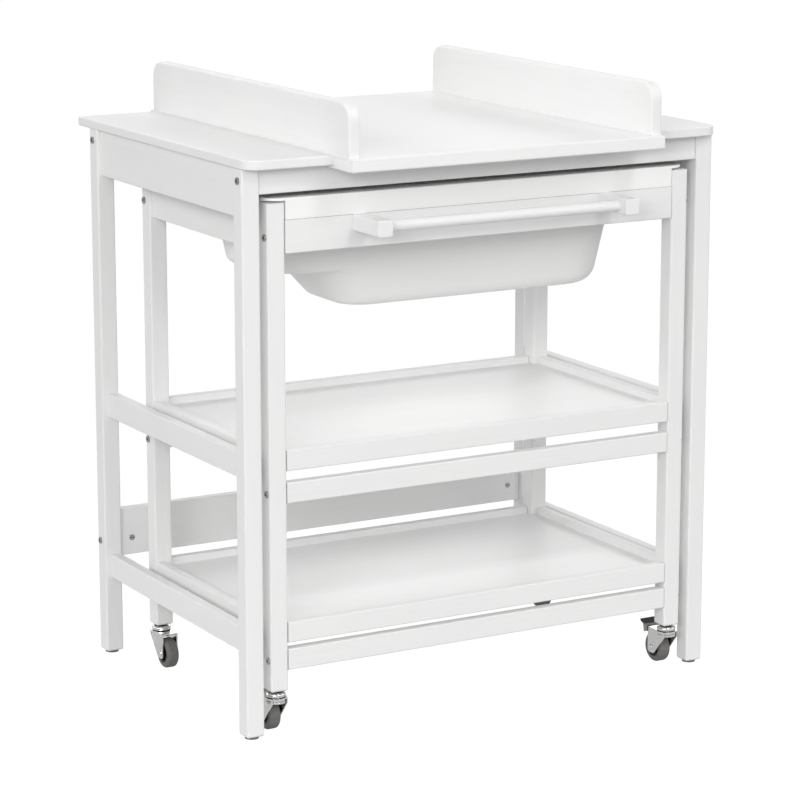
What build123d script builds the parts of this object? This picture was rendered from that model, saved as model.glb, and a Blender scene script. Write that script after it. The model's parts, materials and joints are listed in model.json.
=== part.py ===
from build123d import *
import os

os.makedirs("parts", exist_ok=True)

# A changing table for babies with a bath trolley that rolls out from under its top.
# Millimetres. X runs to the right, Y to the back and Z up from the floor.
# The origin lies on the floor under the middle of the whole object.

# Table
table_width = 850.0  # over the outer faces of the legs
table_depth = 557.0  # over the legs, front to back
table_top = 905.0  # changing surface above the floor
leg_side = 30.0  # square legs and trolley posts
leg_round = 3.0
foot_bevel = 2.5
glide_height = 4.0
glide_radius = 11.0
glide_pin_radius = 1.6
glide_pin_length = 14.0

# Top of the table
board_width = 560.0
board_depth = 708.0
board_thickness = 21.0
board_round = 2.5
board_overhang = 78.0  # changing board ahead of the front legs
shelf_thickness = 15.0
shelf_overhang_front = 21.0
shelf_overhang_back = 43.0
shelf_corner = 28.0
shelf_round = 2.0
wall_thickness = 20.0
wall_height = 83.0
wall_setback = 10.0  # wall ends inside the ends of the board
wall_corner = 28.0
wall_round = 3.5
wall_housing = 3.0  # how deep the walls stand in the changing board

# Rails of the table
rail_thickness = 18.0
rail_round = 2.0
side_apron_height = 75.5
side_apron_recess = 7.0
side_rail_height = 40.0
side_rail_recess = 10.0
mid_rail_level = 410.0
low_rail_level = 133.0
front_apron_height = 40.0
front_apron_recess = 4.0
back_rail_height = 81.0
back_rail_level = 166.0
back_rail_recess = 2.0
tenon_thickness = 10.0
tenon_length = 12.0
tenon_shoulder = 8.0
tenon_play = 0.1

# Connector bolts with barrel nuts
bolt_radius = 3.0
bolt_play = 0.15
bolt_head_radius = 6.0
bolt_head_height = 2.0
bolt_socket_radius = 2.3
bolt_socket_depth = 1.4
bolt_past_nut = 7.0
nut_radius = 5.0
nut_length = 14.0
nut_inset = 54.0  # from the outer face of a leg to the nut's axis
nut_slot_width = 1.2
nut_slot_depth = 1.0
apron_bolt_drop = 18.0  # below the top of the apron
back_rail_bolt_rise = 29.0  # above the lower edge of the low back rail

# Trolley
trolley_side_gap = 14.0  # to the legs on either side
trolley_depth = 448.0
trolley_setback = 4.0  # behind the front faces of the legs
post_top_drop = 70.0  # tops of the posts below the changing surface
cross_thickness = 18.0
top_rail_height = 52.0
top_rail_drop = 26.0  # below the tops of the posts
mid_cross_height = 33.0
mid_cross_level = 369.0
low_cross_height = 34.0
low_cross_level = 103.0
trolley_side_recess = 5.0

# Tray shelves of the trolley
lip_height = 33.0
lip_thickness = 16.0
lip_round = 2.0
side_lip_recess = 2.0
mid_lip_level = 420.0
low_lip_level = 147.0
panel_thickness = 10.0
tongue_shoulder = 2.5  # above and below the tongue round the panel
panel_drop = 12.0  # panel top below the top of the lips
groove_depth = 5.0
groove_play = 0.1

# Bath
rim_rise = 7.0  # above the tops of the posts
rim_thickness = 4.0
rim_corner = 32.0
rim_round = 1.5
skirt_thickness = 3.0
skirt_gap = 1.5  # between the skirt and the posts
bath_wall = 3.0
bath_depth = 208.0  # from the top of the rim to the underside of the floor
bath_left_margin = 55.0  # outer edge of the rim to the basin's edge at the rim
bath_right_margin = 51.0
bath_front_margin = 64.0  # rim's front edge to the basin's edge at the rim
bath_taper_front_share = 0.34  # mm inwards for each mm down
bath_taper_right_share = 0.03
bath_taper_left_share = 0.08
bath_end_straight = 10.56  # straight part between the corners of the basin's floor
deep_corner_step = 14.0  # left corners of the deep part are tighter by this much
bath_floor_round = 31.0
seat_depth = 143.0  # from the top of the rim to the underside of the shallow end
seat_length = 103.0  # along the bottom of the shallow end
seat_slope_run = 54.0
seat_round = 15.0
bath_mouth_round = 2.5

# Drain in the floor of the bath
drain_from_right = 120.0
drain_back_share = 0.56
drain_hole_radius = 15.0
drain_play = 0.2
drain_flange_radius = 22.0
drain_flange_height = 2.5
drain_bore_radius = 11.0
drain_tube_drop = 11.0
drain_nut_radius = 20.0
drain_nut_height = 6.0
plug_radius = 10.6
plug_length = 8.0
plug_lip_radius = 15.0
plug_lip_height = 3.0
plug_knob_radius = 6.0
plug_knob_neck = 3.0
plug_knob_height = 12.0
plug_round = 1.0

# Towel bar
bar_radius = 9.0
bar_half_span = 222.0  # middle of the bar to the middle of a bracket
bar_from_end = 25.0  # bar's axis behind the free end of the bracket
bracket_side = 26.0
bracket_reach = 81.0
bracket_round = 4.0
bracket_socket = 12.0
bar_play = 0.1

# Casters
caster_height = 70.0
stem_radius = 5.0
stem_length = 30.0
collar_radius = 13.0
collar_height = 5.5
collar_wall = 6.0
race_radius = 15.5
race_height = 5.0
race_round = 1.5
crown_radius = 17.0
crown_height = 8.5
crown_groove_depth = 1.2
crown_groove_height = 1.0
king_radius = 4.0
king_head_radius = 7.0
king_head_height = 2.5
turning_gap = 0.3
pin_play = 0.05
wheel_radius = 25.0
wheel_width = 20.0
wheel_trail = 24.0
tread_round = 5.0
tyre_depth = 9.0
hub_bore_play = 0.05
hub_boss_radius = 7.0
hub_rim_depth = 3.0
hub_web_half = 4.0
hub_rim_half = 9.0
hub_rib_half = 7.5
hub_rib_thickness = 2.0
hub_rib_count = 6
fork_plate = 2.0
fork_inner_half = 12.0
fork_front = 14.0
fork_boss = 9.0
axle_radius = 3.0
axle_head_radius = 5.0
axle_head_height = 1.5

# Brake levers of the front casters
brake_pivot_out = 28.5  # behind the swivel axis
brake_pivot_level = 53.0
brake_pivot_radius = 1.5
brake_boss_radius = 2.5
brake_shoe_gap = 2.4
brake_front = 34.0
brake_arm_top = 55.5
brake_heel_top = 60.5
brake_heel_out = 42.0
brake_tip_out = 53.0
brake_tip_level = 67.5
brake_tip_thickness = 2.6
brake_under_out = 44.5
brake_under_level = 60.5
brake_pedal_half = 16.0

overrun = 1.0  # cuts pass their surfaces by this much

# Angles of the small conical faces, degrees
bolt_head_slope = 15.0
drain_flange_slope = 30.0
plug_slope = 6.0
king_head_slope = 20.0
axle_head_slope = 25.0

# Places worked out from the sizes
half_width = table_width / 2
leg_front = board_overhang - board_depth / 2
leg_back = leg_front + table_depth
leg_x = half_width - leg_side / 2
leg_inner = half_width - leg_side
leg_front_y = leg_front + leg_side / 2
leg_back_y = leg_back - leg_side / 2
shelf_under = table_top - shelf_thickness
board_under = table_top - board_thickness

trolley_width = table_width - 2 * leg_side - 2 * trolley_side_gap
trolley_top = table_top - post_top_drop
half_trolley = trolley_width / 2
post_front = leg_front + trolley_setback
post_back = post_front + trolley_depth
post_x = half_trolley - leg_side / 2
post_inner = half_trolley - leg_side
post_front_y = post_front + leg_side / 2
post_back_y = post_back - leg_side / 2
trolley_middle = (post_front + post_back) / 2
top_rail_top = trolley_top - top_rail_drop
top_rail_level = top_rail_top - top_rail_height

front_apron_y = leg_front + front_apron_recess + rail_thickness / 2
back_apron_y = leg_back - front_apron_recess - rail_thickness / 2
back_rail_y = leg_back - back_rail_recess - rail_thickness / 2
apron_level = shelf_under - front_apron_height
apron_bolt_z = shelf_under - apron_bolt_drop
back_bolt_z = back_rail_level + back_rail_bolt_rise
cross_front_y = post_front + cross_thickness / 2
cross_back_y = post_back - cross_thickness / 2
nut_x = half_width - nut_inset
trolley_nut_x = half_trolley - nut_inset

side_names = {"left": -1, "right": 1}

# Rails along the sides of the table: lower edge, upper edge and recess
table_side_rails = {
    "side_apron": (shelf_under - side_apron_height, shelf_under, side_apron_recess),
    "mid_rail": (mid_rail_level, mid_rail_level + side_rail_height, side_rail_recess),
    "low_rail": (low_rail_level, low_rail_level + side_rail_height, side_rail_recess),
}

# Rails across the trolley: lower edge, upper edge
trolley_cross_rails = {
    "top": (top_rail_level, top_rail_top),
    "mid": (mid_cross_level, mid_cross_level + mid_cross_height),
    "low": (low_cross_level, low_cross_level + low_cross_height),
}
trolley_bolt_levels = [(low + high) / 2 for low, high in trolley_cross_rails.values()]


def keep(piece, label):
    # Name a finished piece and write it
    piece.part.label = label
    export_step(piece.part, f"parts/{label}.step")


def upright(x, y, low, high, into_frame, tenons, bolts, pin):
    # Square leg or post. into_frame is 1 at the front and -1 at the back.
    # tenons: (x, lower edge, upper edge), bolts: (y, z), pin: (radius, depth)
    with BuildPart() as piece:
        with BuildSketch(Plane.XY.offset(low)):
            with Locations((x, y)):
                RectangleRounded(leg_side, leg_side, leg_round)
        extrude(amount=high - low)
        chamfer(piece.faces().sort_by(Axis.Z)[0].edges(), foot_bevel)
        with BuildSketch(Plane.XZ.offset(-y - into_frame * leg_side / 2)):
            for tenon_x, tenon_low, tenon_high in tenons:
                with Locations((tenon_x, (tenon_low + tenon_high) / 2)):
                    Rectangle(
                        tenon_thickness + 2 * tenon_play,
                        tenon_high - tenon_low - 2 * tenon_shoulder + 2 * tenon_play,
                    )
        extrude(amount=into_frame * tenon_length, mode=Mode.SUBTRACT)
        with BuildSketch(Plane.YZ.offset(x - leg_side / 2 - overrun)):
            with Locations(*bolts):
                Circle(bolt_radius + bolt_play)
        extrude(amount=leg_side + 2 * overrun, mode=Mode.SUBTRACT)
        with BuildSketch(Plane.XY.offset(low)):
            with Locations((x, y)):
                Circle(pin[0] + bolt_play)
        extrude(amount=pin[1], mode=Mode.SUBTRACT)
    return piece


def side_rail(x, front, back, low, high):
    # Rail along Y with a tenon at each end
    with BuildPart() as piece:
        with BuildSketch(Plane.XZ.offset(-back)):
            with Locations((x, (low + high) / 2)):
                RectangleRounded(rail_thickness, high - low, rail_round)
        extrude(amount=back - front)
        reach = tenon_length - tenon_play
        with BuildSketch(Plane.XZ.offset(-back - reach)):
            with Locations((x, (low + high) / 2)):
                Rectangle(tenon_thickness, high - low - 2 * tenon_shoulder)
        extrude(amount=back - front + 2 * reach)
    return piece


def cross_rail(y, half_length, thickness, low, high, bolt_z, nut_from_end, nut_face, notch):
    # Rail along X, bored at both ends for the bolts and across for the barrel nuts.
    # nut_face is 1 where the nuts go in from the back and -1 from the front.
    # notch is the depth of the housing for the changing board in the upper edge.
    with BuildPart() as piece:
        with BuildSketch(Plane.YZ.offset(-half_length)):
            with Locations((y, (low + high) / 2)):
                RectangleRounded(thickness, high - low, rail_round)
        extrude(amount=2 * half_length)
        bore = nut_from_end + bolt_past_nut + overrun
        for side in side_names.values():
            with BuildSketch(Plane.YZ.offset(side * half_length)):
                with Locations((y, bolt_z)):
                    Circle(bolt_radius + bolt_play)
            extrude(amount=-side * bore, mode=Mode.SUBTRACT)
        with BuildSketch(Plane.XZ.offset(-y - nut_face * thickness / 2)):
            for side in side_names.values():
                with Locations((side * (half_length - nut_from_end), bolt_z)):
                    Circle(nut_radius + bolt_play)
        extrude(amount=nut_face * nut_length, mode=Mode.SUBTRACT)
        if notch > 0:
            with BuildSketch(Plane.XY.offset(high - notch)):
                with Locations((0, y)):
                    Rectangle(board_width + 2 * groove_play, thickness + 2 * overrun)
            extrude(amount=notch + overrun, mode=Mode.SUBTRACT)
    return piece


def bolts(places):
    # Bolts along X: (outer face x, y, z, side), heads outwards
    with BuildPart() as group:
        for face, y, z, side in places:
            with BuildSketch(Plane.YZ.offset(face)):
                with Locations((y, z)):
                    Circle(bolt_head_radius)
            extrude(amount=side * bolt_head_height, taper=bolt_head_slope)
            with BuildSketch(Plane.YZ.offset(face)):
                with Locations((y, z)):
                    Circle(bolt_radius)
            extrude(amount=-side * (nut_inset + bolt_past_nut))
            with BuildSketch(Plane.YZ.offset(face + side * bolt_head_height)):
                with Locations((y, z)):
                    RegularPolygon(bolt_socket_radius, 6)
            extrude(amount=-side * bolt_socket_depth, mode=Mode.SUBTRACT)
    return group


def nuts(places, thickness):
    # Barrel nuts across Y: (x, y of the rail's middle, z, face), slot outwards
    with BuildPart() as group:
        for x, y, z, face in places:
            mouth = Plane.XZ.offset(-y - face * thickness / 2)
            with BuildSketch(mouth):
                with Locations((x, z)):
                    Circle(nut_radius)
            extrude(amount=face * (nut_length - bolt_play))
            with BuildSketch(mouth):
                with Locations((x, z)):
                    Rectangle(2 * nut_radius, nut_slot_width)
            extrude(amount=face * nut_slot_depth, mode=Mode.SUBTRACT)
            with BuildSketch(Plane.YZ.offset(x - nut_radius - overrun)):
                with Locations((y, z)):
                    Circle(bolt_radius + bolt_play)
            extrude(amount=2 * nut_radius + 2 * overrun, mode=Mode.SUBTRACT)
    return group


# Legs
tenon_x_of = {
    name: half_width - recess - rail_thickness / 2
    for name, (low, high, recess) in table_side_rails.items()
}
for side_name, side in side_names.items():
    tenons = [
        (side * tenon_x_of[name], low, high)
        for name, (low, high, recess) in table_side_rails.items()
    ]
    front_leg = upright(
        side * leg_x, leg_front_y, glide_height, shelf_under, 1, tenons,
        [(front_apron_y, apron_bolt_z)], (glide_pin_radius, glide_pin_length),
    )
    keep(front_leg, f"leg_front_{side_name}")
    back_leg = upright(
        side * leg_x, leg_back_y, glide_height, shelf_under, -1, tenons,
        [(back_apron_y, apron_bolt_z), (back_rail_y, back_bolt_z)],
        (glide_pin_radius, glide_pin_length),
    )
    keep(back_leg, f"leg_back_{side_name}")

# Side rails of the table, tenoned into the legs
for name, (low, high, recess) in table_side_rails.items():
    for side_name, side in side_names.items():
        rail = side_rail(
            side * tenon_x_of[name], leg_front + leg_side, leg_back - leg_side, low, high
        )
        keep(rail, f"{name}_{side_name}")

# Aprons and low back rail, bolted between the legs
nut_from_leg = nut_inset - leg_side
board_housing = shelf_under - board_under
front_apron = cross_rail(
    front_apron_y, leg_inner, rail_thickness, apron_level, shelf_under,
    apron_bolt_z, nut_from_leg, 1, board_housing,
)
keep(front_apron, "front_apron")
back_apron = cross_rail(
    back_apron_y, leg_inner, rail_thickness, apron_level, shelf_under,
    apron_bolt_z, nut_from_leg, -1, board_housing,
)
keep(back_apron, "back_apron")
back_low_rail = cross_rail(
    back_rail_y, leg_inner, rail_thickness, back_rail_level,
    back_rail_level + back_rail_height, back_bolt_z, nut_from_leg, -1, 0,
)
keep(back_low_rail, "back_low_rail")

table_joints = [
    (front_apron_y, apron_bolt_z, 1),
    (back_apron_y, apron_bolt_z, -1),
    (back_rail_y, back_bolt_z, -1),
]
keep(
    bolts(
        [
            (side * half_width, y, z, side)
            for y, z, face in table_joints
            for side in side_names.values()
        ]
    ),
    "table_bolts",
)
keep(
    nuts(
        [
            (side * nut_x, y, z, face)
            for y, z, face in table_joints
            for side in side_names.values()
        ],
        rail_thickness,
    ),
    "table_nuts",
)

# Glides nailed under the legs
with BuildPart() as glides:
    for x in (-leg_x, leg_x):
        for y in (leg_front_y, leg_back_y):
            with BuildSketch(Plane.XY):
                with Locations((x, y)):
                    Circle(glide_radius)
            extrude(amount=glide_height)
            with BuildSketch(Plane.XY.offset(glide_height)):
                with Locations((x, y)):
                    Circle(glide_pin_radius)
            extrude(amount=glide_pin_length - overrun)
keep(glides, "glides")

# Side shelves, rounded at the outer front corner
shelf_front = leg_front - shelf_overhang_front
shelf_back = leg_back + shelf_overhang_back
for side_name, side in side_names.items():
    with BuildPart() as shelf:
        with BuildSketch(Plane.XY.offset(shelf_under)) as outline:
            with Locations((side * (half_width + board_width / 2) / 2, (shelf_front + shelf_back) / 2)):
                Rectangle(half_width - board_width / 2, shelf_back - shelf_front)
            front_corners = outline.vertices().sort_by(Axis.Y)[:2]
            fillet(front_corners.sort_by(lambda corner: side * corner.X)[-1], shelf_corner)
        extrude(amount=shelf_thickness)
        top_edges = shelf.faces().sort_by(Axis.Z)[-1].edges()
        low_edges = shelf.faces().sort_by(Axis.Z)[0].edges()
        fillet(top_edges + low_edges, shelf_round)
    keep(shelf, f"side_shelf_{side_name}")

# Changing board and its side walls
with BuildPart() as changing_board:
    with BuildSketch(Plane.XY.offset(board_under)):
        Rectangle(board_width, board_depth)
    extrude(amount=board_thickness)
    fillet(changing_board.faces().sort_by(Axis.Z)[-1].edges(), board_round)
    fillet(changing_board.faces().sort_by(Axis.Z)[0].edges(), board_round)
    wall_half_length = board_depth / 2 - wall_setback
    with BuildSketch(Plane.XY.offset(table_top - wall_housing)):
        for side in side_names.values():
            with Locations((side * (board_width + overrun) / 2, 0)):
                Rectangle(
                    2 * (wall_thickness + groove_play) + overrun, 2 * (wall_half_length + groove_play)
                )
    extrude(amount=wall_housing + overrun, mode=Mode.SUBTRACT)
keep(changing_board, "changing_board")

for side_name, side in side_names.items():
    with BuildPart() as wall:
        with BuildSketch(Plane.YZ.offset(side * board_width / 2)) as outline:
            with Locations((0, table_top + (wall_height - wall_housing) / 2)):
                Rectangle(2 * wall_half_length, wall_height + wall_housing)
            fillet(outline.vertices().sort_by(Axis.Y)[-2:], wall_corner)
        extrude(amount=-side * wall_thickness)
        faces = wall.faces().sort_by(Axis.X)
        edges = faces[0].edges() + faces[-1].edges()
        fillet(edges.filter_by(lambda edge: edge.center().Z > table_top + wall_round), wall_round)
    keep(wall, f"wall_{side_name}")

# Trolley posts
trolley_side_x = half_trolley - trolley_side_recess - rail_thickness / 2
for side_name, side in side_names.items():
    tenons = [(side * trolley_side_x, top_rail_level, top_rail_top)]
    for place, y, bolt_y, into_frame in (
        ("front", post_front_y, cross_front_y, 1),
        ("back", post_back_y, cross_back_y, -1),
    ):
        post = upright(
            side * post_x, y, caster_height, trolley_top, into_frame, tenons,
            [(bolt_y, z) for z in trolley_bolt_levels], (stem_radius, stem_length + overrun),
        )
        keep(post, f"post_{place}_{side_name}")
    rail = side_rail(
        side * trolley_side_x, post_front + leg_side, post_back - leg_side,
        top_rail_level, top_rail_top,
    )
    keep(rail, f"trolley_side_{side_name}")

# Rails across the trolley, front and back at three levels
for name, (low, high) in trolley_cross_rails.items():
    for place, y, face in (("front", cross_front_y, 1), ("back", cross_back_y, -1)):
        rail = cross_rail(
            y, post_inner, cross_thickness, low, high, (low + high) / 2, nut_from_leg, face, 0
        )
        keep(rail, f"{place}_rail_{name}")

trolley_joints = [
    (y, z, face)
    for y, face in ((cross_front_y, 1), (cross_back_y, -1))
    for z in trolley_bolt_levels
]
keep(
    bolts(
        [
            (side * half_trolley, y, z, side)
            for y, z, face in trolley_joints
            for side in side_names.values()
        ]
    ),
    "trolley_bolts",
)
keep(
    nuts(
        [
            (side * trolley_nut_x, y, z, face)
            for y, z, face in trolley_joints
            for side in side_names.values()
        ],
        cross_thickness,
    ),
    "trolley_nuts",
)

# Tray shelves: four grooved lips round a panel that is notched at the posts
side_lip_outer = half_trolley - side_lip_recess
side_lip_inner = side_lip_outer - lip_thickness
front_lip_inner = post_front + lip_thickness
back_lip_inner = post_back - lip_thickness
for name, level in (("mid", mid_lip_level), ("low", low_lip_level)):
    panel_top = level + lip_height - panel_drop
    panel_under = panel_top - panel_thickness
    tongue_under = panel_under + tongue_shoulder
    tongue_thickness = panel_thickness - 2 * tongue_shoulder
    panel_half_x = side_lip_inner - groove_play
    panel_half_y = trolley_depth / 2 - lip_thickness - groove_play
    with BuildPart() as lips:
        for y in (post_front + lip_thickness / 2, post_back - lip_thickness / 2):
            with BuildSketch(Plane.YZ.offset(-post_inner)):
                with Locations((y, level + lip_height / 2)):
                    RectangleRounded(lip_thickness, lip_height, lip_round)
            extrude(amount=2 * post_inner)
        for side in side_names.values():
            with BuildSketch(Plane.XZ.offset(-post_back + leg_side)):
                with Locations((side * (side_lip_outer - lip_thickness / 2), level + lip_height / 2)):
                    RectangleRounded(lip_thickness, lip_height, lip_round)
            extrude(amount=trolley_depth - 2 * leg_side)
        with BuildSketch(Plane.XY.offset(tongue_under - groove_play)):
            with Locations((0, trolley_middle)):
                Rectangle(
                    2 * (side_lip_inner + groove_depth),
                    trolley_depth - 2 * lip_thickness + 2 * groove_depth,
                )
        extrude(amount=tongue_thickness + 2 * groove_play, mode=Mode.SUBTRACT)
    keep(lips, f"{name}_lips")

    with BuildPart() as panel:
        with BuildSketch(Plane.XY.offset(panel_under)):
            with Locations((0, trolley_middle)):
                Rectangle(2 * panel_half_x, 2 * panel_half_y)
        extrude(amount=panel_thickness)
        with BuildSketch(Plane.XY.offset(tongue_under)):
            with Locations((0, trolley_middle)):
                Rectangle(2 * (panel_half_x + groove_depth), 2 * (panel_half_y + groove_depth))
        extrude(amount=tongue_thickness)
        with BuildSketch(Plane.XY.offset(panel_under)):
            for side in side_names.values():
                for y in (post_front_y, post_back_y):
                    with Locations((side * post_x, y)):
                        Rectangle(leg_side + 2 * groove_play, leg_side + 2 * groove_play)
        extrude(amount=panel_thickness, mode=Mode.SUBTRACT)
    keep(panel, f"{name}_panel")

# Bath: a tapered basin with a shallow left end, in a flat rim with a turned-down skirt
rim_top = trolley_top + rim_rise
rim_under = rim_top - rim_thickness
bath_bottom = rim_top - bath_depth
bath_left = bath_left_margin - half_trolley
bath_right = half_trolley - bath_right_margin
seat_level = rim_top - seat_depth
seat_end = bath_left + seat_length
bath_front = post_front + bath_front_margin
bath_half_depth = trolley_middle - bath_front
bath_floor_half_depth = bath_half_depth - bath_taper_front_share * bath_depth
bath_corner = bath_floor_half_depth - bath_end_straight / 2
deep_corner = bath_corner - deep_corner_step


def basin(top, bottom, inset):
    # Solid of the basin between two levels, all its walls moved in by inset
    with BuildPart() as form:
        for level in (top, bottom):
            down = rim_top - level
            left = bath_left + bath_taper_left_share * down + inset
            right = bath_right - bath_taper_right_share * down - inset
            half_depth = bath_half_depth - bath_taper_front_share * down - inset
            with BuildSketch(Plane.XY.offset(level)):
                with Locations(((left + right) / 2, trolley_middle)):
                    RectangleRounded(right - left, 2 * half_depth, bath_corner - inset)
        loft()
        step = seat_level + inset
        seat = seat_end + inset
        slope_share = seat_slope_run / (seat_level - bath_bottom)
        foot = seat + slope_share * (step - bottom + overrun)
        reach = bath_left - rim_corner
        with BuildSketch(Plane.XZ.offset(-trolley_middle)):
            with BuildLine():
                Polyline(
                    (reach, step), (seat, step), (foot, bottom - overrun),
                    (reach, bottom - overrun), close=True,
                )
            make_face()
        extrude(amount=bath_half_depth, both=True, mode=Mode.SUBTRACT)
        slope_middle = Vector((seat + foot) / 2, trolley_middle, (step + bottom) / 2)
        slope = form.faces().sort_by(lambda face: (face.center() - slope_middle).length)[0]
        fillet(slope.edges().filter_by(Axis.Y, reverse=True), deep_corner - inset)
        fillet(form.faces().filter_by(Plane.XY).sort_by(Axis.Z)[0].edges(), bath_floor_round - inset)
        fillet(form.faces().filter_by(Plane.XY).sort_by(Axis.Z)[1].edges(), seat_round - inset)
    return form


bath_outer = basin(rim_under, bath_bottom, 0)
bath_inner = basin(rim_top + overrun, bath_bottom + bath_wall, bath_wall)
drain_x = bath_right - drain_from_right
drain_y = post_front + drain_back_share * trolley_depth
with BuildPart() as bath:
    with BuildSketch(Plane.XY.offset(top_rail_top)):
        with Locations((0, trolley_middle)):
            RectangleRounded(trolley_width, trolley_depth, rim_corner)
            Rectangle(
                trolley_width - 2 * skirt_thickness, trolley_depth - 2 * skirt_thickness,
                mode=Mode.SUBTRACT,
            )
        for side in side_names.values():
            for y in (post_front_y, post_back_y):
                with Locations((side * post_x, y)):
                    Rectangle(leg_side + 2 * skirt_gap, leg_side + 2 * skirt_gap, mode=Mode.SUBTRACT)
    extrude(amount=rim_under - top_rail_top)
    with BuildSketch(Plane.XY.offset(rim_under)):
        with Locations((0, trolley_middle)):
            RectangleRounded(trolley_width, trolley_depth, rim_corner)
    extrude(amount=rim_thickness)
    fillet(bath.faces().sort_by(Axis.Z)[-1].edges(), rim_round)
    add(bath_outer.part)
    add(bath_inner.part, mode=Mode.SUBTRACT)
    fillet(bath.faces().sort_by(Axis.Z)[-1].inner_wires()[0].edges(), bath_mouth_round)
    with BuildSketch(Plane.XY.offset(bath_bottom - overrun)):
        with Locations((drain_x, drain_y)):
            Circle(drain_hole_radius)
    extrude(amount=bath_wall + 2 * overrun, mode=Mode.SUBTRACT)
keep(bath, "bath")

# Drain fitting clamped through the floor of the bath, and the plug in it
bath_floor = bath_bottom + bath_wall
with BuildPart() as drain_fitting:
    with BuildSketch(Plane.XY.offset(bath_floor)):
        with Locations((drain_x, drain_y)):
            Circle(drain_flange_radius)
    extrude(amount=drain_flange_height, taper=drain_flange_slope)
    with BuildSketch(Plane.XY.offset(bath_floor)):
        with Locations((drain_x, drain_y)):
            Circle(drain_hole_radius - drain_play)
    extrude(amount=-bath_wall - drain_tube_drop)
    with BuildSketch(Plane.XY.offset(bath_bottom)):
        with Locations((drain_x, drain_y)):
            RegularPolygon(drain_nut_radius, 6)
    extrude(amount=-drain_nut_height)
    with BuildSketch(Plane.XY.offset(bath_floor + drain_flange_height + overrun)):
        with Locations((drain_x, drain_y)):
            Circle(drain_bore_radius)
    extrude(
        amount=-drain_flange_height - bath_wall - drain_tube_drop - 2 * overrun,
        mode=Mode.SUBTRACT,
    )
keep(drain_fitting, "drain_fitting")

plug_seat = bath_floor + drain_flange_height + turning_gap
with BuildPart() as drain_plug:
    with BuildSketch(Plane.XY.offset(plug_seat)):
        with Locations((drain_x, drain_y)):
            Circle(plug_radius)
    extrude(amount=-plug_length, taper=plug_slope)
    with BuildSketch(Plane.XY.offset(plug_seat)):
        with Locations((drain_x, drain_y)):
            Circle(plug_lip_radius)
    extrude(amount=plug_lip_height)
    fillet(drain_plug.faces().sort_by(Axis.Z)[-1].edges(), plug_round)
    with BuildSketch(Plane.XY.offset(plug_seat + plug_lip_height)):
        with Locations((drain_x, drain_y)):
            Circle(plug_knob_neck)
    extrude(amount=plug_knob_height)
    with BuildSketch(Plane.XY.offset(plug_seat + plug_lip_height + plug_knob_height / 2)):
        with Locations((drain_x, drain_y)):
            Circle(plug_knob_radius)
    extrude(amount=plug_knob_height / 2)
    fillet(drain_plug.faces().sort_by(Axis.Z)[-1].edges(), plug_round)
keep(drain_plug, "drain_plug")

# Towel bar in its two brackets on the top front rail
bracket_front = post_front - bracket_reach
bracket_z = top_rail_top - bracket_side / 2
bar_y = bracket_front + bar_from_end
bar_half = bar_half_span - bracket_side / 2 + bracket_socket
with BuildPart() as towel_bar:
    with BuildSketch(Plane.YZ.offset(-bar_half + bar_play)):
        with Locations((bar_y, bracket_z)):
            Circle(bar_radius)
    extrude(amount=2 * bar_half - 2 * bar_play)
keep(towel_bar, "towel_bar")

with BuildPart() as towel_brackets:
    for side in side_names.values():
        with BuildSketch(Plane.XZ.offset(-post_front)):
            with Locations((side * bar_half_span, bracket_z)):
                RectangleRounded(bracket_side, bracket_side, bracket_round)
        extrude(amount=bracket_reach)
    ends = towel_brackets.faces().filter_by(
        lambda face: abs(face.center().Y - bracket_front) < overrun
    )
    fillet(ends.edges(), bracket_round / 2)
    with BuildSketch(Plane.YZ.offset(-bar_half)):
        with Locations((bar_y, bracket_z)):
            Circle(bar_radius + bar_play)
    extrude(amount=2 * bar_half, mode=Mode.SUBTRACT)
keep(towel_brackets, "towel_brackets")

# Casters. The stem, collar and upper race stay on the post, the fork swivels under them.
collar_under = caster_height - collar_height
race_under = collar_under - race_height
crown_top = race_under - turning_gap
crown_under = crown_top - crown_height
king_head_top = crown_under - turning_gap
caster_places = {
    "front_left": (-post_x, post_front_y, 1),
    "front_right": (post_x, post_front_y, 1),
    "back_left": (-post_x, post_back_y, -1),
    "back_right": (post_x, post_back_y, -1),
}

with BuildPart() as caster_collars:
    for x, y, trail in caster_places.values():
        with BuildSketch(Plane.XY.offset(caster_height)):
            with Locations((x, y)):
                Circle(collar_radius)
                Circle(collar_radius - collar_wall + bolt_play, mode=Mode.SUBTRACT)
        extrude(amount=-collar_height)
keep(caster_collars, "caster_collars")

with BuildPart() as caster_stems:
    for x, y, trail in caster_places.values():
        with BuildSketch(Plane.XY.offset(caster_height + stem_length)):
            with Locations((x, y)):
                Circle(stem_radius)
        extrude(amount=-stem_length)
        with BuildSketch(Plane.XY.offset(caster_height)):
            with Locations((x, y)):
                Circle(collar_radius - collar_wall)
        extrude(amount=-collar_height)
        with BuildSketch(Plane.XY.offset(race_under)):
            with Locations((x, y)):
                Circle(race_radius)
        extrude(amount=race_height)
        with BuildSketch(Plane.XY.offset(race_under)):
            with Locations((x, y)):
                Circle(king_radius)
        extrude(amount=king_head_top - race_under)
        with BuildSketch(Plane.XY.offset(king_head_top)):
            with Locations((x, y)):
                Circle(king_head_radius)
        extrude(amount=-king_head_height, taper=king_head_slope)
    rounds = caster_stems.edges().filter_by(GeomType.CIRCLE).filter_by(
        lambda edge: abs(edge.radius - race_radius) < turning_gap
    )
    fillet(rounds, race_round)
keep(caster_stems, "caster_stems")

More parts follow.
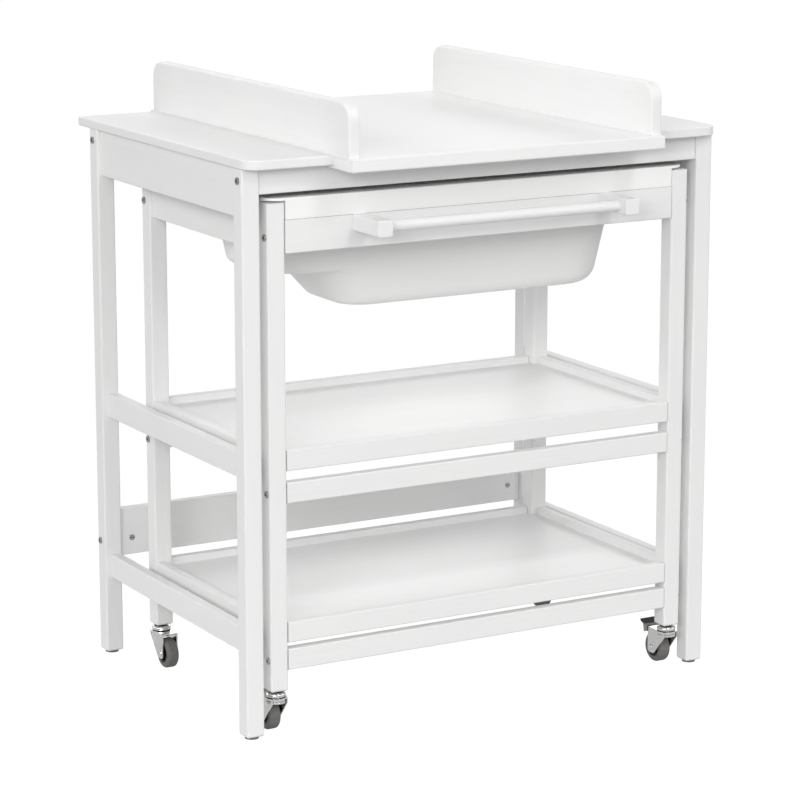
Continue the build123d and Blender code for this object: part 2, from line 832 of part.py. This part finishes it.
for name, (x, y, trail) in caster_places.items():
    braked = name.startswith("front")
    axle_y = y + trail * wheel_trail
    fork_half = fork_inner_half + fork_plate
    plate_under = crown_top - fork_plate
    with BuildPart() as fork:
        with BuildSketch(Plane.YZ.offset(x - fork_half)) as cheek:
            with BuildLine():
                Polyline(
                    (y - trail * fork_front, crown_top),
                    (axle_y + trail * fork_boss, crown_top),
                    (axle_y + trail * fork_boss, wheel_radius - fork_boss),
                    (axle_y - trail * fork_boss, wheel_radius - fork_boss),
                    (y - trail * fork_front, crown_under),
                    close=True,
                )
            make_face()
            fillet(cheek.vertices().sort_by(Axis.Y)[:2], fork_boss - fork_plate)
        extrude(amount=2 * fork_half)
        with BuildSketch(Plane.YZ.offset(x - fork_inner_half)):
            with Locations((axle_y, plate_under - wheel_radius)):
                Rectangle(4 * wheel_radius, 2 * wheel_radius)
        extrude(amount=2 * fork_inner_half, mode=Mode.SUBTRACT)
        with BuildSketch(Plane.XY.offset(crown_under)):
            with Locations((x, y)):
                Circle(crown_radius)
        extrude(amount=crown_height)
        with BuildSketch(Plane.XY.offset((crown_under + plate_under) / 2)):
            with Locations((x, y)):
                Circle(crown_radius + overrun)
                Circle(crown_radius - crown_groove_depth, mode=Mode.SUBTRACT)
                with Locations((0, trail * crown_radius)):
                    Rectangle(2 * crown_radius + 2 * overrun, 2 * crown_radius, mode=Mode.SUBTRACT)
        extrude(amount=crown_groove_height, mode=Mode.SUBTRACT)
        with BuildSketch(Plane.XY.offset(crown_under - overrun)):
            with Locations((x, y)):
                Circle(king_radius + pin_play)
        extrude(amount=crown_height + 2 * overrun, mode=Mode.SUBTRACT)
        with BuildSketch(Plane.YZ.offset(x - fork_half)):
            with Locations((axle_y, wheel_radius)):
                Circle(axle_radius)
        extrude(amount=2 * fork_half)
        for side in side_names.values():
            with BuildSketch(Plane.YZ.offset(x + side * fork_half)):
                with Locations((axle_y, wheel_radius)):
                    Circle(axle_head_radius)
            extrude(amount=side * axle_head_height, taper=axle_head_slope)
        if braked:
            with BuildSketch(Plane.YZ.offset(x - fork_half)):
                with Locations((y + trail * brake_pivot_out, brake_pivot_level)):
                    Circle(brake_pivot_radius)
            extrude(amount=2 * fork_half)
    keep(fork, f"fork_{name}")

    hub_radius = wheel_radius - tyre_depth
    hub_boss_half = fork_inner_half - turning_gap
    with BuildPart() as hub:
        with BuildSketch(Plane.XY.offset(wheel_radius)):
            with BuildLine():
                Polyline(
                    (x - hub_boss_half, axle_y + axle_radius + hub_bore_play),
                    (x - hub_boss_half, axle_y + hub_boss_radius),
                    (x - hub_web_half, axle_y + hub_boss_radius),
                    (x - hub_web_half, axle_y + hub_radius - hub_rim_depth),
                    (x - hub_rim_half, axle_y + hub_radius - hub_rim_depth),
                    (x - hub_rim_half, axle_y + hub_radius),
                    (x + hub_rim_half, axle_y + hub_radius),
                    (x + hub_rim_half, axle_y + hub_radius - hub_rim_depth),
                    (x + hub_web_half, axle_y + hub_radius - hub_rim_depth),
                    (x + hub_web_half, axle_y + hub_boss_radius),
                    (x + hub_boss_half, axle_y + hub_boss_radius),
                    (x + hub_boss_half, axle_y + axle_radius + hub_bore_play),
                    close=True,
                )
            make_face()
        revolve(axis=Axis((x, axle_y, wheel_radius), (1, 0, 0)))
        rib_inner = (axle_radius + hub_boss_radius) / 2
        rib_outer = hub_radius - hub_rim_depth / 2
        with BuildSketch(Plane.YZ.offset(x - hub_rib_half)):
            with Locations((axle_y, wheel_radius)):
                with PolarLocations((rib_inner + rib_outer) / 2, hub_rib_count):
                    Rectangle(rib_outer - rib_inner, hub_rib_thickness)
        extrude(amount=2 * hub_rib_half)
    keep(hub, f"hub_{name}")

    with BuildPart() as tyre:
        with BuildSketch(Plane.XY.offset(wheel_radius)) as tread:
            with Locations((x, axle_y + hub_radius + pin_play)):
                Rectangle(wheel_width, tyre_depth - pin_play, align=(Align.CENTER, Align.MIN))
            fillet(tread.vertices().sort_by(Axis.Y)[-2:], tread_round)
        revolve(axis=Axis((x, axle_y, wheel_radius), (1, 0, 0)))
    keep(tyre, f"tyre_{name}")

    if braked:
        arm_half = fork_inner_half - turning_gap
        brake_heel_low = brake_pivot_level - 2 * brake_boss_radius
        with BuildPart() as lever:
            with BuildSketch(Plane.YZ.offset(x - arm_half)):
                with BuildLine():
                    Polyline(
                        (y + trail * brake_pivot_out, brake_arm_top),
                        (y + trail * brake_heel_out, brake_arm_top),
                        (y + trail * brake_heel_out, brake_heel_low),
                        (y + trail * brake_pivot_out, brake_pivot_level - brake_boss_radius),
                        close=True,
                    )
                make_face()
                with Locations((axle_y, wheel_radius)):
                    Circle(wheel_radius + brake_shoe_gap, mode=Mode.SUBTRACT)
                with Locations((y + trail * brake_pivot_out, brake_pivot_level)):
                    Circle(brake_boss_radius)
            extrude(amount=2 * arm_half)
            with BuildSketch(Plane.YZ.offset(x - brake_pedal_half)):
                with BuildLine():
                    Polyline(
                        (y + trail * brake_front, brake_heel_top),
                        (y + trail * brake_tip_out, brake_tip_level),
                        (y + trail * brake_tip_out, brake_tip_level - brake_tip_thickness),
                        (y + trail * brake_under_out, brake_under_level),
                        (y + trail * brake_heel_out, brake_heel_low),
                        (y + trail * brake_front, brake_pivot_level - brake_boss_radius),
                        close=True,
                    )
                make_face()
                with Locations((axle_y, wheel_radius)):
                    Circle(wheel_radius + brake_shoe_gap, mode=Mode.SUBTRACT)
            extrude(amount=2 * brake_pedal_half)
            with BuildSketch(Plane.YZ.offset(x - arm_half - overrun)):
                with Locations((y + trail * brake_pivot_out, brake_pivot_level)):
                    Circle(brake_pivot_radius + pin_play)
            extrude(amount=2 * arm_half + 2 * overrun, mode=Mode.SUBTRACT)
        keep(lever, f"brake_{name}")
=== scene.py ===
import json
import math
import bmesh
import bpy
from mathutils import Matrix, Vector


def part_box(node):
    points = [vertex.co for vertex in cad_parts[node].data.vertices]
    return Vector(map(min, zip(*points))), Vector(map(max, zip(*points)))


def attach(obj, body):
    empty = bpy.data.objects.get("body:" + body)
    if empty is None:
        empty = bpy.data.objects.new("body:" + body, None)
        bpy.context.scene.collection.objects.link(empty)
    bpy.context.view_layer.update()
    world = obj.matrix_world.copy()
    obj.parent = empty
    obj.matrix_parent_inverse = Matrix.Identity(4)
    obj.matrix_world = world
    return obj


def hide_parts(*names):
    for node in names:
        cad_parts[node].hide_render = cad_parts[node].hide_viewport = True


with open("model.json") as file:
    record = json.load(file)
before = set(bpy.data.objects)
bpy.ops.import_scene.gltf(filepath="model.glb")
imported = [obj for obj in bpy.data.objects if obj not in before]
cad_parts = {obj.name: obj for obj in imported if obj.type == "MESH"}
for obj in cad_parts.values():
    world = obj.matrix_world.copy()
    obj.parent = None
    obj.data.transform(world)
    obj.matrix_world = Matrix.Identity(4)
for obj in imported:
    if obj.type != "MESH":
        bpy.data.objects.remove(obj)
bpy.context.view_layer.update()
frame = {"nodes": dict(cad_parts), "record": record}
nodes = frame["nodes"]
slotOf = {part["node"]: part["material_slot"] for part in frame["record"]["subparts"]}
print("frame loaded:", len(nodes), "nodes")


# Numbers of the stage, in metres, watts and degrees
bpy.context.scene.view_settings.view_transform = "Standard"
stage = {
    "floor": {
        "radius": 30.0,
        "corners": 96,
        "tones": (0.245, 0.255),
        "patches": (1.2, 2.0),
        "roughness": 0.9,
        "shine": 0.1,
        # distances from the object's middle, and the floor's glow within the first and past the second
        "reach": (0.5, 1.8),
        "glow": (0.27, 0.1),
    },
    # tone of the surround as the lens sees it, and the shares in which the lens and a mirror
    # see it on the floor
    "white": 1.25,
    "lensShare": 0.75,
    "mirrorShare": 0.15,
    "sky": {
        # height on the sky as a share of the way from below the horizon to overhead, and its tone
        "tones": [(0.38, 0.25), (0.48, 1.0), (0.58, 1.0), (0.72, 0.08), (1.0, 0.08)],
        "lowest": -0.4,
        "strength": 2.1,
    },
    # place, width, height, power
    "lights": {
        "key": ((0.6, -3.6, 4.4), 1.1, 0.8, 50.0),
        "frontLeft": ((-3.6, -3.8, 2.2), 2.0, 2.0, 73.0),
        "side": ((-4.6, -1.2, 1.9), 2.0, 2.4, 11.0),
        "overhead": ((0.0, 0.4, 4.2), 3.0, 3.0, 20.0),
    },
    "lightTarget": (0.0, 0.0, 0.6),
    "camera": {
        "place": (-2.4379, -4.3267, 1.5334),
        "tilt": 77.609,
        "turn": -29.409,
        "sensor": 36.0,
        "lens": 138.04,
        "farthest": 100.0,
    },
}


# Helpers for node trees
def nodeTree(name):
    material = bpy.data.materials.new(name)
    material.use_nodes = True
    tree = material.node_tree
    return material, tree, tree.nodes["Principled BSDF"]


def addNode(tree, kind, **settings):
    node = tree.nodes.new(kind)
    for key, value in settings.items():
        setattr(node, key, value)
    return node


def objectSpace(tree, scale=(1.0, 1.0, 1.0)):
    coordinates = addNode(tree, "ShaderNodeTexCoord")
    mapping = addNode(tree, "ShaderNodeMapping")
    mapping.inputs["Scale"].default_value = scale
    tree.links.new(coordinates.outputs["Object"], mapping.inputs["Vector"])
    return mapping.outputs["Vector"]


def noise(tree, vector, scale, detail=2.0, roughness=0.5, distortion=0.0):
    node = addNode(tree, "ShaderNodeTexNoise")
    settings = {"Scale": scale, "Detail": detail, "Roughness": roughness, "Distortion": distortion}
    for key, value in settings.items():
        node.inputs[key].default_value = value
    tree.links.new(vector, node.inputs["Vector"])
    return node.outputs["Fac"]


def ramp(tree, fac, stops):
    node = addNode(tree, "ShaderNodeValToRGB")
    elements = node.color_ramp.elements
    while len(elements) < len(stops):
        elements.new(0.5)
    for element, (position, colour) in zip(elements, stops):
        element.position = position
        element.color = (*colour, 1.0)
    tree.links.new(fac, node.inputs["Fac"])
    return node.outputs["Color"]


def grey(tone):
    return (tone, tone, tone)


def shaded(tint, share):
    return tuple(min(channel * share, 1.0) for channel in tint)


def mapRange(tree, value, fromEnds=(0.0, 1.0), toEnds=(0.0, 1.0), interpolation="LINEAR"):
    node = addNode(tree, "ShaderNodeMapRange", interpolation_type=interpolation)
    node.inputs["From Min"].default_value, node.inputs["From Max"].default_value = fromEnds
    node.inputs["To Min"].default_value, node.inputs["To Max"].default_value = toEnds
    tree.links.new(value, node.inputs["Value"])
    return node.outputs["Result"]


def mathNode(tree, operation, value, *others):
    node = addNode(tree, "ShaderNodeMath", operation=operation)
    for socket, entry in zip(node.inputs, (value, *others)):
        if isinstance(entry, float):
            socket.default_value = entry
        else:
            tree.links.new(entry, socket)
    return node.outputs["Value"]


def axesOf(tree, vector):
    split = addNode(tree, "ShaderNodeSeparateXYZ")
    tree.links.new(vector, split.inputs["Vector"])
    return split.outputs


def mixColours(tree, kind, fac, first, second):
    node = addNode(tree, "ShaderNodeMix", data_type="RGBA", blend_type=kind)
    if isinstance(fac, float):
        node.inputs["Factor"].default_value = fac
    else:
        tree.links.new(fac, node.inputs["Factor"])
    colourInputs = [socket for socket in node.inputs if socket.type == "RGBA"]
    tree.links.new(first, colourInputs[0])
    tree.links.new(second, colourInputs[1])
    return [socket for socket in node.outputs if socket.type == "RGBA"][0]


def multiply(tree, first, *others):
    tone = first
    for other in others:
        tone = mixColours(tree, "MULTIPLY", 1.0, tone, other)
    return tone


def bump(tree, height, strength, distance, below):
    node = addNode(tree, "ShaderNodeBump")
    node.inputs["Strength"].default_value = strength
    node.inputs["Distance"].default_value = distance
    tree.links.new(height, node.inputs["Height"])
    if below is not None:
        tree.links.new(below, node.inputs["Normal"])
    return node.outputs["Normal"]


def softEdges(tree, radius):
    node = addNode(tree, "ShaderNodeBevel", samples=4)
    node.inputs["Radius"].default_value = radius
    return node.outputs["Normal"]


def finish(tree, shader, tone, roughness, normal):
    tree.links.new(tone, shader.inputs["Base Color"])
    tree.links.new(roughness, shader.inputs["Roughness"])
    tree.links.new(normal, shader.inputs["Normal"])


# Satin white lacquer over a fine straight grain that runs along one axis.
# The rows of each look give noise settings: scale, detail, roughness, distortion.
lacquerNumbers = {
    "stretch": 0.035,
    "streaks": (260.0, 5.0, 0.62, 0.4),
    "bands": (42.0, 3.0, 0.5, 0.8),
    "mottle": (5.0, 2.0),
    "skin": (900.0, 1.0),
    "streakShares": [(0.32, 0.985), (0.5, 1.0), (0.72, 1.01)],
    "bandTones": [(0.35, (0.988, 0.988, 0.986)), (0.65, (1.0, 1.0, 1.0))],
    "mottleTones": [(0.3, (0.985, 0.985, 0.99)), (0.7, (1.0, 1.0, 0.995))],
    "roughness": (0.42, 0.52),
    "streakRelief": (0.1, 0.0003),
    "skinRelief": (0.05, 0.0003),
    "edge": 0.0016,
    "coat": 0.12,
    "coatRoughness": 0.22,
    # painted shade along the line where a board's end or edge meets its neighbour, standing in for the
    # shadow in a gap: full within, none past
    "jointShadeReach": (0.0004, 0.0013),
    "jointShadeTone": 0.62,
}


# Painted shade: darkens a thin line of the colour at each joint, where a real gap would hold shadow
def jointShade(tree, tone, joints):
    along = axesOf(tree, objectSpace(tree))
    for axis, place in joints:
        gap = mathNode(tree, "ABSOLUTE", mathNode(tree, "SUBTRACT", along[axis], place))
        clear = mapRange(tree, gap, lacquerNumbers["jointShadeReach"], interpolation="SMOOTHSTEP")
        stops = [(0.0, grey(lacquerNumbers["jointShadeTone"])), (1.0, grey(1.0))]
        tone = multiply(tree, tone, ramp(tree, clear, stops))
    return tone


def lacquer(name, along, tint, joints=()):
    material, tree, shader = nodeTree(name)
    numbers = lacquerNumbers
    stretch = [1.0, 1.0, 1.0]
    stretch[along] = numbers["stretch"]
    grainSpace = objectSpace(tree, stretch)
    plainSpace = objectSpace(tree)
    streaks = noise(tree, grainSpace, *numbers["streaks"])
    bands = noise(tree, grainSpace, *numbers["bands"])
    mottle = noise(tree, plainSpace, *numbers["mottle"])
    skin = noise(tree, plainSpace, *numbers["skin"])
    tone = multiply(
        tree,
        ramp(tree, streaks, [(place, shaded(tint, share)) for place, share in numbers["streakShares"]]),
        ramp(tree, bands, numbers["bandTones"]),
        ramp(tree, mottle, numbers["mottleTones"]),
    )
    normal = bump(tree, streaks, *numbers["streakRelief"], softEdges(tree, numbers["edge"]))
    normal = bump(tree, skin, *numbers["skinRelief"], normal)
    roughness = mapRange(tree, streaks, toEnds=numbers["roughness"])
    finish(tree, shader, jointShade(tree, tone, joints), roughness, normal)
    shader.inputs["Coat Weight"].default_value = numbers["coat"]
    shader.inputs["Coat Roughness"].default_value = numbers["coatRoughness"]
    return material


# Moulded plastic: fine even texture, slow flow marks and faint handling marks
plasticNumbers = {
    "flow": (5.0, 2.0, 0.5, 0.6),
    "grain": (1400.0, 2.0),
    "marks": (35.0, 2.0, 0.5),
    "flowShares": [(0.3, 0.985), (0.7, 1.0)],
    "roughnessShares": (0.92, 1.08),
    "depth": 0.0002,
    "edge": 0.0006,
    "coatRoughness": 0.15,
}


def mouldedPlastic(name, tint, roughness, speck, coat):
    material, tree, shader = nodeTree(name)
    numbers = plasticNumbers
    space = objectSpace(tree)
    flow = noise(tree, space, *numbers["flow"])
    grain = noise(tree, space, *numbers["grain"])
    marks = noise(tree, space, *numbers["marks"])
    tone = ramp(tree, flow, [(place, shaded(tint, share)) for place, share in numbers["flowShares"]])
    ends = [roughness * share for share in numbers["roughnessShares"]]
    normal = bump(tree, grain, speck, numbers["depth"], softEdges(tree, numbers["edge"]))
    finish(tree, shader, tone, mapRange(tree, marks, toEnds=ends), normal)
    shader.inputs["Coat Weight"].default_value = coat
    shader.inputs["Coat Roughness"].default_value = numbers["coatRoughness"]
    return material


# Plated metal: brushed or polished, with faint smudges, and painted shade in hollows and sockets,
# darker where ambient occlusion finds them closed in
metalNumbers = {
    "lines": (1800.0, 4.0, 0.6),
    "smudge": (120.0, 3.0, 0.6, 0.6),
    "smudgeShares": [(0.35, 0.95), (0.62, 1.0)],
    "roughnessShares": (0.8, 1.3),
    "depth": 0.0001,
    "edge": 0.0005,
    "paintedShadeReach": 0.004,
    "paintedShadeSamples": 6,
    "paintedShadeEnds": (0.45, 0.8),
}


def metal(name, tint, roughness, brushed, stretch, hollowShadeTone):
    material, tree, shader = nodeTree(name)
    numbers = metalNumbers
    lines = noise(tree, objectSpace(tree, stretch), *numbers["lines"])
    smudge = noise(tree, objectSpace(tree), *numbers["smudge"])
    # painted shade: ambient occlusion darkens the colour in hollows and sockets
    openness = addNode(tree, "ShaderNodeAmbientOcclusion", samples=numbers["paintedShadeSamples"])
    openness.inputs["Distance"].default_value = numbers["paintedShadeReach"]
    shades = list(zip(numbers["paintedShadeEnds"], (grey(hollowShadeTone), grey(1.0))))
    tone = multiply(
        tree,
        ramp(tree, smudge, [(place, shaded(tint, share)) for place, share in numbers["smudgeShares"]]),
        ramp(tree, openness.outputs["AO"], shades),
    )
    ends = [roughness * share for share in numbers["roughnessShares"]]
    normal = bump(tree, lines, brushed, numbers["depth"], softEdges(tree, numbers["edge"]))
    finish(tree, shader, tone, mapRange(tree, smudge, toEnds=ends), normal)
    shader.inputs["Metallic"].default_value = 1.0
    return material


# Rubber: matte and faintly dusty, with a fine pitted skin
rubberNumbers = {
    "dust": (150.0, 4.0, 0.6, 0.4),
    "pits": (2200.0, 2.0),
    "dustShares": [(0.3, 0.85), (0.55, 1.0), (0.8, 1.18)],
    "roughness": (0.5, 0.72),
    "relief": (0.25, 0.0002),
    "shine": 0.35,
}


def rubber(name, tint):
    material, tree, shader = nodeTree(name)
    numbers = rubberNumbers
    space = objectSpace(tree)
    dust = noise(tree, space, *numbers["dust"])
    pits = noise(tree, space, *numbers["pits"])
    tone = ramp(tree, dust, [(place, shaded(tint, share)) for place, share in numbers["dustShares"]])
    normal = bump(tree, pits, *numbers["relief"], None)
    finish(tree, shader, tone, mapRange(tree, dust, toEnds=numbers["roughness"]), normal)
    shader.inputs["Specular IOR Level"].default_value = numbers["shine"]
    return material


# Brake lever: plated steel arm below a level, black moulded pedal above it
leverNumbers = {
    "steel": (0.4, 0.4, 0.38),
    "pedal": (0.012, 0.012, 0.012),
    "level": (0.0621, 0.0623),
    "smudge": (140.0, 3.0, 0.6, 0.5),
    "grain": (1500.0, 2.0),
    "steelShares": [(0.35, 0.85), (0.65, 1.0)],
    "pedalShares": [(0.35, 0.7), (0.65, 1.0)],
    "roughness": (0.28, 0.42),
    "relief": (0.1, 0.0002),
    "edge": 0.0005,
}


def leverLook(name):
    material, tree, shader = nodeTree(name)
    numbers = leverNumbers
    space = objectSpace(tree)
    above = mapRange(tree, axesOf(tree, space)["Z"], numbers["level"])
    smudge = noise(tree, space, *numbers["smudge"])
    grain = noise(tree, space, *numbers["grain"])
    steel, pedal = (
        ramp(tree, smudge, [(place, shaded(numbers[part], share)) for place, share in numbers[shares]])
        for part, shares in (("steel", "steelShares"), ("pedal", "pedalShares"))
    )
    normal = bump(tree, grain, *numbers["relief"], softEdges(tree, numbers["edge"]))
    roughness = mapRange(tree, smudge, toEnds=numbers["roughness"])
    finish(tree, shader, mixColours(tree, "MIX", above, steel, pedal), roughness, normal)
    tree.links.new(mapRange(tree, above, toEnds=(1.0, 0.0)), shader.inputs["Metallic"])
    return material


woodTint = (0.85, 0.85, 0.847)
boardTint = (0.885, 0.885, 0.882)
looks = {
    "wood_x": lacquer("lacquer along x", 0, woodTint),
    "wood_y": lacquer("lacquer along y", 1, woodTint),
    "wood_z": lacquer("lacquer along z", 2, woodTint),
    "white_panel": lacquer("lacquered board", 0, boardTint),
    # tint, roughness, relief of the grain, coat
    "bath_plastic": mouldedPlastic("white bath plastic", (0.93, 0.93, 0.922), 0.34, 0.03, 0.1),
    "plug_plastic": mouldedPlastic("soft white stopper", (0.76, 0.76, 0.75), 0.5, 0.1, 0.0),
    "dark_plastic": mouldedPlastic("black moulded plastic", (0.014, 0.014, 0.015), 0.42, 0.12, 0.0),
    "hub_plastic": mouldedPlastic("black hub plastic", (0.004, 0.004, 0.0045), 0.5, 0.12, 0.0),
    "felt": mouldedPlastic("grey felt glide", (0.13, 0.13, 0.128), 0.85, 0.5, 0.0),
    # tint, roughness, relief of the brushing, stretch of the brushing, tone of the painted shade in
    # hollows
    "bolt_steel": metal("bolt plating", (0.5, 0.49, 0.48), 0.2, 0.08, (1.0, 1.0, 0.2), 0.08),
    "nut_steel": metal("nut plating", (0.55, 0.55, 0.56), 0.26, 0.1, (1.0, 0.2, 1.0), 0.15),
    "chrome": metal("bright plated steel", (0.84, 0.84, 0.83), 0.11, 0.04, (1.0, 1.0, 0.15), 0.35),
    "grey_tyre": rubber("grey rubber", (0.15, 0.147, 0.142)),
    "lever": leverLook("brake lever"),
}
lookOf = {"hub": "hub_plastic", "brake": "lever", "glides": "felt"}

# Boards that show painted shade lines at their joints: their nodes, the axis of the grain, and axis and
# place of each line
postEnds = [(0, -0.351), (0, 0.351)]
joined = {
    "rails between posts": (
        [
            "front_rail_mid", "front_rail_low", "back_rail_top", "back_rail_mid", "back_rail_low",
            "mid_lips", "low_lips",
        ],
        0, postEnds,
    ),
    "rail under the bath": (["front_rail_top"], 0, [*postEnds, (2, 0.809)]),
    "boards between legs": (
        ["front_apron", "back_apron", "back_low_rail"], 0, [(0, -0.395), (0, 0.395)],
    ),
    "side boards": (
        [
            "side_apron_left", "side_apron_right", "mid_rail_left", "mid_rail_right",
            "low_rail_left", "low_rail_right",
        ],
        1, [(1, -0.2579), (1, 0.2629)],
    ),
}
for name, (members, along, joints) in joined.items():
    looks[name] = lacquer(name, along, woodTint, joints)
    lookOf.update({member: name for member in members})
for name, node in nodes.items():
    look = lookOf.get(name) or lookOf.get(name.split("_")[0], slotOf[name])
    if look == "white_wood":
        low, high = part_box(name)
        size = high - low
        look = "wood_" + "xyz"[max(range(3), key=lambda axis: size[axis])]
    node.data.materials.clear()
    node.data.materials.append(looks[look])
print("materials:", len(looks))


# Caster heads: the domed upper race and the black bush between it and the post, in millimetres
caster = {
    "perMetre": 1000.0,
    "postX": 366.0,
    "postY": (-257.0, 161.0),
    "steps": 64,
    # radius and height of the profile's corners
    "dome": [
        (9.2, 64.6), (14.0, 64.6), (15.0, 64.2), (15.52, 63.2), (15.62, 63.2), (15.55, 64.1),
        (15.2, 65.0), (14.6, 65.8), (13.7, 66.5), (12.6, 67.0), (11.4, 67.4), (10.2, 67.6),
        (9.5, 67.55), (9.2, 67.3),
    ],
    "bush": [
        (7.02, 64.55), (9.1, 64.55), (9.1, 67.6), (8.8, 67.9), (8.5, 68.3), (8.5, 69.7), (8.9, 70.0),
        (7.02, 70.0),
    ],
}


def turnedRings(name, profile):
    mesh = bpy.data.meshes.new(name)
    form = bmesh.new()
    for x in (-caster["postX"], caster["postX"]):
        for y in caster["postY"]:
            corners = [
                form.verts.new(Vector((x + radius, y, level)) / caster["perMetre"])
                for radius, level in profile
            ]
            edges = [form.edges.new(pair) for pair in zip(corners, corners[1:] + corners[:1])]
            bmesh.ops.spin(
                form, geom=corners + edges, cent=Vector((x, y, 0.0)) / caster["perMetre"],
                axis=(0.0, 0.0, 1.0), angle=math.tau, steps=caster["steps"], use_merge=True,
            )
    bmesh.ops.recalc_face_normals(form, faces=form.faces)
    for face in form.faces:
        face.smooth = True
    form.to_mesh(mesh)
    form.free()
    piece = bpy.data.objects.new(name, mesh)
    bpy.context.scene.collection.objects.link(piece)
    return piece


domes = turnedRings("raceDomes", caster["dome"])
domes.data.materials.append(looks["chrome"])
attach(domes, "trolley")
bushes = turnedRings("raceBushes", caster["bush"])
bushes.data.materials.append(looks["dark_plastic"])
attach(bushes, "trolley")
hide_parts("caster_collars")
print("pieces: caster heads")


# What the lens and a mirror see of the surround is white, and its light keeps its own tone
def whiteToTheEye(tree, kind, light, lensShare, mirrorShare):
    plain = addNode(tree, kind)
    plain.inputs["Strength"].default_value = stage["white"]
    path = addNode(tree, "ShaderNodeLightPath")
    mirrored = mathNode(tree, "MULTIPLY", path.outputs["Is Glossy Ray"], mirrorShare)
    amount = mathNode(tree, "MULTIPLY_ADD", path.outputs["Is Camera Ray"], lensShare, mirrored)
    mix = addNode(tree, "ShaderNodeMixShader")
    tree.links.new(amount, mix.inputs["Fac"])
    tree.links.new(light, mix.inputs[1])
    tree.links.new(plain.outputs[0], mix.inputs[2])
    return mix.outputs["Shader"]


# Floor
ground = stage["floor"]
floorMaterial, tree, shader = nodeTree("pale floor")
space = objectSpace(tree)
patches = noise(tree, space, *ground["patches"])
low, high = ground["tones"]
tree.links.new(ramp(tree, patches, [(0.3, grey(low)), (0.7, grey(high))]), shader.inputs["Base Color"])
shader.inputs["Roughness"].default_value = ground["roughness"]
shader.inputs["Specular IOR Level"].default_value = ground["shine"]
shader.inputs["Emission Color"].default_value = (1.0, 1.0, 1.0, 1.0)
away = addNode(tree, "ShaderNodeVectorMath", operation="LENGTH")
tree.links.new(space, away.inputs[0])
glow = mapRange(tree, away.outputs["Value"], ground["reach"], ground["glow"], "SMOOTHERSTEP")
tree.links.new(glow, shader.inputs["Emission Strength"])
surface = whiteToTheEye(
    tree, "ShaderNodeEmission", shader.outputs["BSDF"], stage["lensShare"], stage["mirrorShare"]
)
tree.links.new(surface, tree.nodes["Material Output"].inputs["Surface"])
floorMesh = bpy.data.meshes.new("floor")
floorForm = bmesh.new()
bmesh.ops.create_circle(
    floorForm, cap_ends=True, radius=ground["radius"], segments=ground["corners"]
)
floorForm.to_mesh(floorMesh)
floorForm.free()
floorMesh.materials.append(floorMaterial)
floor = bpy.data.objects.new("floor", floorMesh)
bpy.context.scene.collection.objects.link(floor)

# Surround, with a bright band of sky at the height of soft boxes
world = bpy.data.worlds.new("studio")
world.use_nodes = True
bpy.context.scene.world = world
sky = world.node_tree
direction = addNode(sky, "ShaderNodeTexCoord")
rise = axesOf(sky, direction.outputs["Generated"])["Z"]
height = mapRange(sky, rise, (stage["sky"]["lowest"], 1.0))
background = sky.nodes["Background"]
tones = [(place, grey(tone)) for place, tone in stage["sky"]["tones"]]
sky.links.new(ramp(sky, height, tones), background.inputs["Color"])
background.inputs["Strength"].default_value = stage["sky"]["strength"]
surround = whiteToTheEye(sky, "ShaderNodeBackground", background.outputs["Background"], 1.0, 0.0)
sky.links.new(surround, sky.nodes["World Output"].inputs["Surface"])

# Lights
for name, (place, width, length, power) in stage["lights"].items():
    data = bpy.data.lights.new(name, "AREA")
    data.shape = "RECTANGLE"
    data.size, data.size_y = width, length
    data.energy = power
    light = bpy.data.objects.new(name, data)
    bpy.context.scene.collection.objects.link(light)
    light.location = place
    aim = Vector(stage["lightTarget"]) - light.location
    light.rotation_euler = aim.to_track_quat("-Z", "Y").to_euler()

# Camera
view = stage["camera"]
cameraData = bpy.data.cameras.new("camera")
cameraData.sensor_width = view["sensor"]
cameraData.lens = view["lens"]
cameraData.clip_end = view["farthest"]
camera = bpy.data.objects.new("camera", cameraData)
bpy.context.scene.collection.objects.link(camera)
camera.location = view["place"]
camera.rotation_euler = (math.radians(view["tilt"]), 0.0, math.radians(view["turn"]))
bpy.context.scene.camera = camera
print("stage: floor, light and camera")
